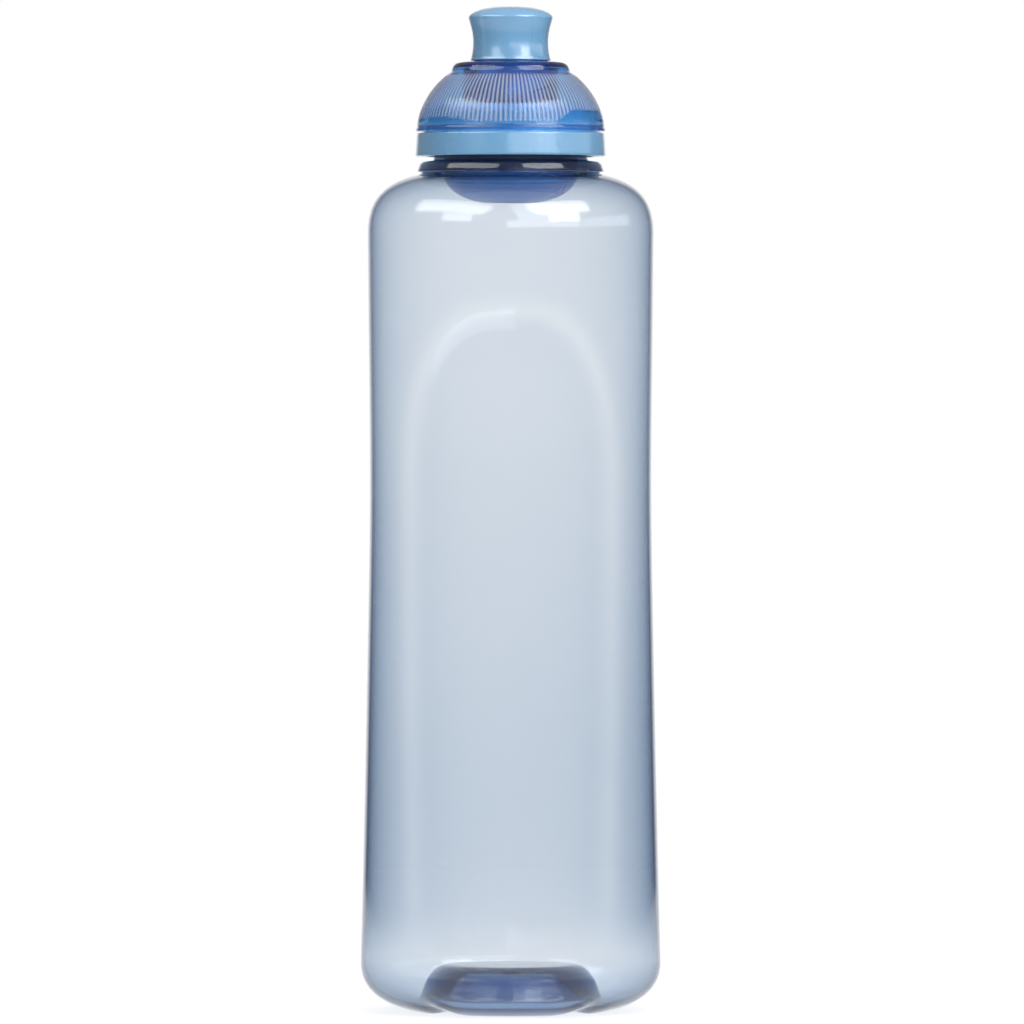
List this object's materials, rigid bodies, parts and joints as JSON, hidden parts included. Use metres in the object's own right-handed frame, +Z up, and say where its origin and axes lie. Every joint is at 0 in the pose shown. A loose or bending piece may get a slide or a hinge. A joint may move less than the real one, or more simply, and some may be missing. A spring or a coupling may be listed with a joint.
{
  "type": "sports squeeze bottle",
  "caption": "Tall translucent squeeze bottle with a waisted round body, arched grip panels and a screw-on twist-to-open drinking closure with a raised mouthpiece.",
  "frame": {"origin": "on the bottle's axis at the surface that it stands on", "axes": "+Z up along the bottle's axis, -Y towards the front, +X to the right of someone who faces the front"},
  "size_m": [0.0676, 0.0676, 0.226],
  "materials": {
    "bottle_plastic": "translucent smoky blue moulded plastic, glossy",
    "light_blue_plastic": "opaque light blue moulded plastic, semi-gloss",
    "dome_plastic": "translucent deep blue moulded plastic, glossy, finely ribbed inside",
    "seal_rubber": "matt pale silicone rubber",
    "deep_blue_plastic": "opaque deep blue moulded plastic, semi-gloss"
  },
  "bodies": {
    "bottle": {"bottle_body": "bottle_plastic"},
    "seal": {"neck_seal": "seal_rubber"},
    "lid": {"closure_base": "light_blue_plastic", "neck_plug": "deep_blue_plastic", "spout_oring": "seal_rubber"},
    "dome": {"twist_dome": "dome_plastic"},
    "spout": {"mouthpiece": "light_blue_plastic"}
  },
  "joints": [
    {"name": "lid_lift", "type": "slide", "parent": "bottle", "child": "seal", "axis": [0, 0, 1], "range_m": [0, 0.02]},
    {"name": "lid_turn", "type": "hinge", "parent": "seal", "child": "lid", "pos_m": [0, 0, 0.2013], "axis": [0, 0, 1], "range_deg": [0, 900.01]},
    {"name": "dome_twist", "type": "hinge", "parent": "lid", "child": "dome", "pos_m": [0, 0, 0.2013], "axis": [0, 0, -1], "range_deg": [0, 90.01]},
    {"name": "spout_lift", "type": "slide", "parent": "lid", "child": "spout", "axis": [0, 0, 1], "range_m": [0, 0.004]}
  ],
  "couplings": [
    {"joint": "lid_turn", "follows": "lid_lift", "rad_per_m": 785.4},
    {"joint": "dome_twist", "follows": "spout_lift", "rad_per_m": 392.7}
  ]
}
